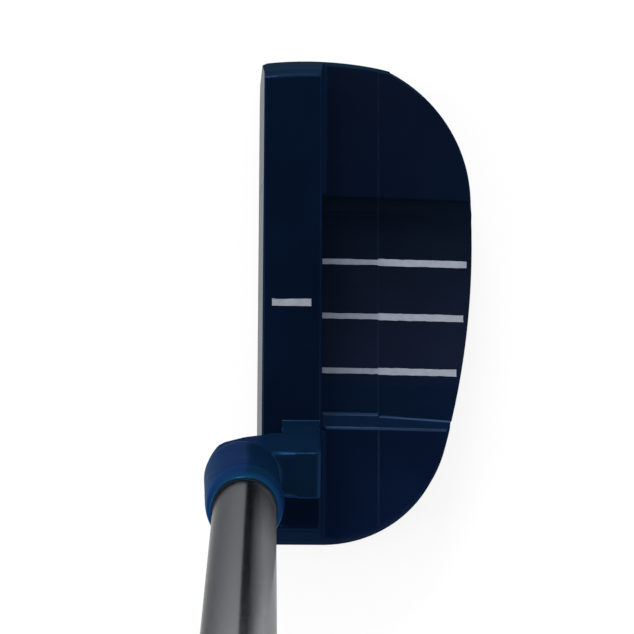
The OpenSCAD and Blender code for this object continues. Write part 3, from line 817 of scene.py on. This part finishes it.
def make_foot(sizes):
    """The thin foot plate on the topline, rounded at its edge and swept up to the post."""
    here, half = 0.02, FOOT_STEPS[0][0]
    deselect()
    bpy.ops.mesh.primitive_cube_add(
        size=1, location=(26.8 * MM, SPIGOT_Y, sizes.topline_h + here / 2 * MM))
    foot = added("foot")
    foot.scale = (2 * half * MM, sizes.post_d + 0.2 * MM, here * MM)
    settle()
    pick(foot, "FACE", lambda c, n: n.z > 0.9)
    for reach, rise in FOOT_STEPS:
        bpy.ops.mesh.extrude_region_move(TRANSFORM_OT_translate={
            "value": (0.4 * MM * (half - reach), 0, (rise - here) * MM)})
        bpy.ops.transform.resize(value=(reach / half, 1, 1))
        here, half = rise, reach
    leave_edit()
    return foot


class PUTTER_OT_neck(bpy.types.Operator):
    """Model the cast neck: foot, post, round elbow and tapered barrel"""

    bl_idname = "putter.neck"
    bl_label = "Neck"

    def execute(self, context):
        sizes = context.scene.putter_sizes
        stand = shaft_frame(sizes)
        elbow = make_elbow(sizes)
        post = make_post(sizes)

        def rear_corner(a, b, sides, turn):
            return all(abs(p.y - sizes.post_rear) < 1e-5 and abs(p.z - sizes.arm_top) < 1e-5
                       for p in (a, b))

        for piece in (elbow, post):
            pick(piece, "FACE", lambda c, n: n.x < -0.9)
            bpy.ops.transform.rotate(value=-sizes.draft, orient_axis="Y",
                                     center_override=(-sizes.arm_w / 2, 0, sizes.arm_top))
            leave_edit()
            pick(piece, "EDGE", rear_corner)
            bpy.ops.mesh.bevel(offset=0.8 * MM, segments=16, profile=0.5, affect="EDGES")
            leave_edit()

        ball, barrel = make_barrel(sizes)
        make_active(elbow, post, ball, barrel)
        bpy.ops.object.join()
        neck = added("neck")
        apply_modifier(neck, "REMESH", mode="VOXEL", voxel_size=0.21 * MM)
        apply_modifier(neck, "SMOOTH", factor=0.5, iterations=8)

        def elbow_front(c, n):
            return c.y < 3.4 * MM and c.z < sizes.rim_t - 5 * MM

        pick(neck, "FACE", elbow_front)
        bpy.ops.mesh.vertices_smooth(factor=0.5, repeat=40)
        leave_edit()
        for reach, height in ROOT_BLENDS:
            pick(neck, "FACE", lambda c, n: 3.2 * MM < c.y < reach * MM and n.z > -0.2
                 and -0.8 * MM < c.z - sizes.arm_top < height * MM)
            bpy.ops.mesh.vertices_smooth(factor=0.5, repeat=40)
            leave_edit()
        place(neck, stand)
        edit_all(neck)
        bpy.ops.mesh.bisect(plane_co=(0, 0, sizes.topline_h), plane_no=(0, 0, 1), clear_inner=True)
        bpy.ops.mesh.select_all(action="DESELECT")
        bpy.ops.mesh.select_non_manifold()
        bpy.ops.mesh.fill()
        edit_all(neck)
        bpy.ops.mesh.normals_make_consistent(inside=False)
        leave_edit()

        deselect()
        bpy.ops.mesh.primitive_cylinder_add(vertices=128, radius=sizes.socket_r, depth=sizes.socket_d)
        socket = added("socket")
        top = sizes.rim_t + sizes.rim_l
        socket.location = (0, 0, top - sizes.socket_d / 2 + 1 * MM)
        place(socket, stand)
        make_active(neck)
        apply_modifier(neck, "BOOLEAN", operation="DIFFERENCE", object=socket, solver="EXACT")
        remove(socket)

        deselect()
        bpy.ops.mesh.primitive_cylinder_add(
            vertices=64, radius=2.6 * MM, depth=10.4 * MM,
            location=(SPIGOT_X, SPIGOT_Y, sizes.topline_h - 4.8 * MM))
        spigot = added("spigot")
        settle()
        foot = make_foot(sizes)
        make_active(neck, spigot, foot)
        bpy.ops.object.join()
        smooth(neck, 45, weighted=False)
        finish_piece(neck, "blue_paint", "hosel_neck", MATERIALS["neck"], MATERIALS["rim"])
        axis, base = stand.col[2].xyz, stand.translation

        # Painted highlight: the rim's outer faces take the brighter rim paint
        def rim(c, n):
            up = (c - base).dot(axis)
            out = (c - base - up * axis).length
            return up > sizes.rim_t + 0.4 * MM and out > sizes.socket_r + 0.05 * MM

        assign(neck, 1, rim)
        return {"FINISHED"}


class PUTTER_OT_shaft(bpy.types.Operator):
    """Model the stepped steel tube"""

    bl_idname = "putter.shaft"
    bl_label = "Shaft"

    def execute(self, context):
        sizes = context.scene.putter_sizes
        rim_top, tip_gap = sizes.rim_t + sizes.rim_l, 0.15 * MM
        tip_t = rim_top - sizes.socket_d + tip_gap
        first = rim_top + sizes.plain_tip
        rise = (sizes.butt_r - sizes.tip_r) / sizes.step_count
        rings = []
        for i in range(sizes.step_count):
            at = first + i * sizes.step_l
            rings.append((at, sizes.tip_r + i * rise))
            rings.append((at + sizes.step_cone, sizes.tip_r + (i + 1) * rise))
        rings.append((sizes.butt_t, sizes.butt_r))
        deselect()
        bpy.ops.mesh.primitive_circle_add(vertices=128, radius=sizes.tip_r, location=(0, 0, tip_t))
        shaft = added("shaft_tube")
        settle()
        edit_all(shaft)
        here, wide = tip_t, sizes.tip_r
        for at, radius in rings:
            bpy.ops.mesh.extrude_region_move(TRANSFORM_OT_translate={"value": (0, 0, at - here)})
            bpy.ops.transform.resize(value=(radius / wide, radius / wide, 1))
            here, wide = at, radius
        edit_all(shaft)
        bpy.ops.mesh.normals_make_consistent(inside=False)
        leave_edit()
        apply_modifier(shaft, "SOLIDIFY", thickness=sizes.shaft_wall, offset=-1, use_even_offset=True)
        place(shaft, shaft_frame(sizes))
        smooth(shaft, 35)
        finish_piece(shaft, "plated_steel", "shaft", MATERIALS["steel"])
        return {"FINISHED"}


class PUTTER_OT_grip(bpy.types.Operator):
    """Model the moulded pistol grip and its end cap"""

    bl_idname = "putter.grip"
    bl_label = "Grip"

    def execute(self, context):
        for node, name, slot, mat in (("grip", "grip_sleeve", "grip_rubber", "rubber"),
                                      ("grip_cap", "grip_end_cap", "cap_rubber", "cap")):
            piece = copy_node(node, name)
            edit_all(piece)
            bpy.ops.mesh.tris_convert_to_quads(face_threshold=math.radians(40),
                                               shape_threshold=math.radians(60))
            leave_edit()
            pick(piece, "EDGE", lambda a, b, sides, turn: turn > math.radians(50))
            bpy.ops.transform.edge_crease(value=1)
            leave_edit()
            apply_modifier(piece, "SUBSURF", levels=2, render_levels=2)
            smooth(piece, 45, weighted=False)
            finish_piece(piece, slot, node, MATERIALS[mat])
        dress_node("grip_tape", MATERIALS["tape"])
        return {"FINISHED"}


class PUTTER_OT_fixings(bpy.types.Operator):
    """Finish the screw, the epoxy and the plug inside"""

    bl_idname = "putter.fixings"
    bl_label = "Fixings"

    def execute(self, context):
        dress_node("neck_screw", MATERIALS["screw"])
        dress_node("hosel_epoxy", MATERIALS["epoxy"])
        dress_node("shaft_tip_plug", MATERIALS["plug"])
        return {"FINISHED"}


class PUTTER_OT_stage(bpy.types.Operator):
    """Set the floor, the light and the camera"""

    bl_idname = "putter.stage"
    bl_label = "Stage"

    def execute(self, context):
        finish = context.scene.putter_finish
        deselect()
        bpy.ops.mesh.primitive_plane_add(size=FLOOR_SIZE)
        floor = added("floor")
        floor.data.materials.append(pale_floor(finish))
        studio_world(context.scene)
        for name, place_at, size, power in SOFTBOXES:
            deselect()
            bpy.ops.object.light_add(type="AREA", location=place_at)
            lamp = added(name)
            lamp.data.size = size
            lamp.data.energy = power
            lamp.rotation_euler = (-Vector(place_at)).to_track_quat("-Z", "Y").to_euler()
        deselect()
        bpy.ops.object.camera_add(location=CAMERA_AT)
        camera = added("camera")
        camera.data.lens = CAMERA_LENS
        camera.data.sensor_width = CAMERA_SENSOR
        camera.data.clip_start = 0.01
        camera.data.clip_end = 200
        up = -CAMERA_DOWN
        turn = Matrix((CAMERA_RIGHT, up, CAMERA_RIGHT.cross(up))).transposed()
        camera.rotation_euler = turn.to_euler()
        context.scene.camera = camera
        return {"FINISHED"}


def seen_directly(tree):
    """1 for rays from the camera and for rays that metal or glass sends on."""
    path = add(tree, "LightPath")
    first = add(tree, "Math", {0: path.outputs["Is Camera Ray"], 1: path.outputs["Is Glossy Ray"]},
                operation="MAXIMUM").outputs[0]
    return add(tree, "Math", {0: first, 1: path.outputs["Is Transmission Ray"]},
               operation="MAXIMUM").outputs[0]


def pale_floor(finish):
    """A pale matt floor that stays white to the eye and keeps the putter's soft shadow."""
    mat, tree, output, coords = new_material("pale_floor")
    shade = noise(tree, coords, 8, 2)
    colour = mix_colours(tree, shade, tuple(0.98 * c for c in finish.floor), tuple(finish.floor))
    matt = add(tree, "BsdfDiffuse", {"Color": colour})
    faint = add(tree, "BsdfDiffuse", {"Color": (0.2, 0.2, 0.2, 1)})
    glow = add(tree, "Emission", {"Color": (1, 1, 1, 1), "Strength": 0.84})
    white = add(tree, "AddShader", {0: faint.outputs[0], 1: glow.outputs[0]})
    mixed = add(tree, "MixShader", {0: seen_directly(tree), 1: matt.outputs[0], 2: white.outputs[0]})
    close_material(tree, output, mixed)
    return mat


def studio_world(scene):
    """Even light all round, white near the horizon, with a dark ceiling to mirror."""
    world = bpy.data.worlds.new("studio")
    scene.world = world
    world.use_nodes = True
    tree = world.node_tree
    tree.nodes.clear()
    output = add(tree, "OutputWorld")
    up = add(tree, "SeparateXYZ", {0: add(tree, "TexCoord").outputs["Generated"]}).outputs["Z"]
    ramp = add(tree, "ValToRGB", {"Fac": up})
    ramp.color_ramp.elements[0].position = 0.2
    ramp.color_ramp.elements[0].color = (1, 1, 1, 1)
    ramp.color_ramp.elements[1].position = 0.42
    ramp.color_ramp.elements[1].color = (0.04, 0.042, 0.05, 1)
    seen = add(tree, "Background", {"Color": ramp.outputs["Color"], "Strength": 1.0})
    light = add(tree, "Background", {"Color": (1, 1, 1, 1), "Strength": 0.6})
    mixed = add(tree, "MixShader", {0: seen_directly(tree), 1: light.outputs[0], 2: seen.outputs[0]})
    tree.links.new(mixed.outputs[0], output.inputs["Surface"])


class PUTTER_PT_panel(bpy.types.Panel):
    """The putter's pieces, in the order in which they are made"""

    bl_idname = "PUTTER_PT_panel"
    bl_label = "Mallet Putter"
    bl_space_type = "VIEW_3D"
    bl_region_type = "UI"
    bl_category = "Putter"

    def draw(self, context):
        for operator in OPERATORS:
            self.layout.operator(operator.bl_idname)
        for group in (context.scene.putter_sizes, context.scene.putter_finish):
            for key in group.bl_rna.properties.keys():
                if key not in ("rna_type", "name"):
                    self.layout.prop(group, key)


OPERATORS = (PUTTER_OT_head, PUTTER_OT_face, PUTTER_OT_sight_lines, PUTTER_OT_neck, PUTTER_OT_shaft,
             PUTTER_OT_grip, PUTTER_OT_fixings, PUTTER_OT_stage)
CLASSES = (PutterSizes, PutterFinish, *OPERATORS, PUTTER_PT_panel)
MATERIALS = {}

# The head's material slots, in order
HEAD_PAINTS = ("topline", "milled", "flange", "recess", "polished", "toe_end", "sides")


def make_materials(sizes, finish):
    """Makes all finishes, with the paint's tones at places along X in millimetres."""
    toe, heel, topline, recess, neck, crease_highlight = (tuple(c) for c in (
        finish.flange_toe, finish.flange_heel, finish.topline, finish.recess, finish.neck, finish.crease_highlight))
    MATERIALS.update(
        topline=candy_blue_paint("candy_blue_topline", topline),
        # Painted light: the flange runs from the darker toe blue to the lighter heel blue, with a
        # painted crease highlight
        flange=candy_blue_paint("candy_blue_flange", (-50, toe), (50, heel),
                                crease=(sizes, crease_highlight, 0.16, 0.45), streaked=0.03),
        # Painted shade and light on the recess: darkest at the toe wall, then lighter and bluer towards
        # the heel wall, with a painted crease highlight
        recess=candy_blue_paint("candy_blue_recess", (-22, (0.003, 0.0078, 0.019)),
                                (-21.2, (0.0052, 0.0128, 0.027)), (-19.5, (0.0075, 0.0178, 0.036)),
                                (-18.5, (0.0062, 0.0134, 0.0295)),
                                (-14, (0.0095, 0.0176, 0.039)),
                                (0, recess), (8.5, (0.0155, 0.0245, 0.058)),
                                (13, (0.0066, 0.0203, 0.06)),
                                crease=(sizes, crease_highlight, 0.12, 0.3), rough=0.26),
        # Painted highlight for the recess heel wall's edges
        polished=candy_blue_paint("candy_blue_polished_edge", (0.036, 0.08, 0.175)),
        # Painted sheen: the toe end is nearly matt, its lighter blue standing in for what the slope
        # mirrors
        toe_end=candy_blue_paint("candy_blue_toe_end", (0.0065, 0.0185, 0.042), coat=0.0,
                                 sheen=(0.01, 0.06, 0.13), metal=0.08),
        sides=candy_blue_paint("candy_blue_sides", topline, rough=0.3, coat=0.0,
                               sheen=(0.005, 0.025, 0.05), metal=0.08),
        # Painted light: a brighter copy of the blue paint for the neck
        neck=candy_blue_paint("candy_blue_neck", neck, rough=0.3, streaked=0.0, flaked=0.012,
                              sheen=(0.035, 0.24, 0.46)),
        # Painted highlight: a brighter cyan-blue for the barrel's rim
        rim=candy_blue_paint("candy_blue_rim_highlight", (0.007, 0.044, 0.104), rough=0.26, streaked=0.0,
                             flaked=0.012, sheen=(0.035, 0.3, 0.54)),
        milled=milled_metal(finish), line=white_line_paint(finish),
        steel=plated_steel(sizes, finish), rubber=grip_rubber(finish, "moulded_rubber"),
        cap=grip_rubber(finish, "cap_moulded_rubber", 2600),
        film=plain_finish("bond_film", (0.78, 0.75, 0.65), 0.5),
        epoxy=plain_finish("hosel_epoxy_resin", (0.03, 0.032, 0.035), 0.3),
        plug=plain_finish("tip_plug_plastic", (0.03, 0.03, 0.03), 0.5),
        tape=plain_finish("grip_tape_paper", (0.66, 0.62, 0.5), 0.8, stretched=(1, 1, 4)),
        screw=plain_finish("satin_screw_steel", (0.4, 0.41, 0.43), 0.3, 1.0, 900, 0.05))


def register():
    for cls in CLASSES:
        bpy.utils.register_class(cls)
    bpy.types.Scene.putter_sizes = PointerProperty(type=PutterSizes)
    bpy.types.Scene.putter_finish = PointerProperty(type=PutterFinish)


def unregister():
    del bpy.types.Scene.putter_finish
    del bpy.types.Scene.putter_sizes
    for cls in reversed(CLASSES):
        bpy.utils.unregister_class(cls)


def main():
    register()
    scene = bpy.context.scene
    scene.view_settings.view_transform = "Standard"
    make_materials(scene.putter_sizes, scene.putter_finish)
    for step in (bpy.ops.putter.head, bpy.ops.putter.face, bpy.ops.putter.sight_lines,
                 bpy.ops.putter.neck, bpy.ops.putter.shaft, bpy.ops.putter.grip,
                 bpy.ops.putter.fixings, bpy.ops.putter.stage):
        step()


if __name__ == "__main__":
    main()
